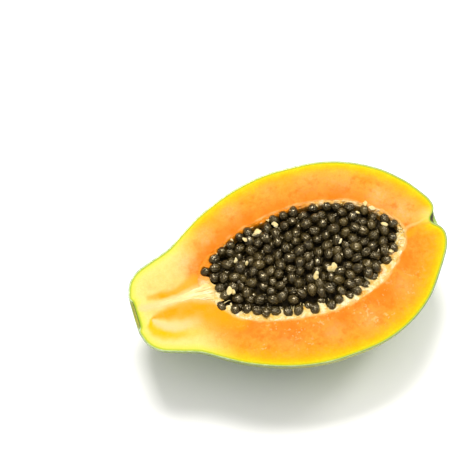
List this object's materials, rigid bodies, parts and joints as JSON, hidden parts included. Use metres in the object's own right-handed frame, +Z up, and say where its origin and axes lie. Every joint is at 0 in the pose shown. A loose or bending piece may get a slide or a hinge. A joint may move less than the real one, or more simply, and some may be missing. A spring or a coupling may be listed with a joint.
{
  "type": "papaya half",
  "caption": "Half of a ripe papaya cut lengthwise: thin green skin, orange flesh, pale pulp lining and a heap of dark seeds in the hollow.",
  "frame": {"origin": "on the surface that the half lies on, under the middle of its outline seen from above", "axes": "+X from the stem end to the blossom end, +Z up, out of the cut face"},
  "size_m": [0.1652, 0.1062, 0.0532],
  "materials": {
    "skin": "waxy green to yellow peel with a soft gloss",
    "flesh": "moist cut flesh, yellow under the peel and orange towards the hollow",
    "pulp": "soft cream pulp, ragged at its rim",
    "seed": "wet, dark olive brown seed coats with a clear gloss"
  },
  "bodies": {
    "root": {"fruit_half": "flesh", "placenta": "pulp", "seeds": "seed"}
  },
  "joints": []
}
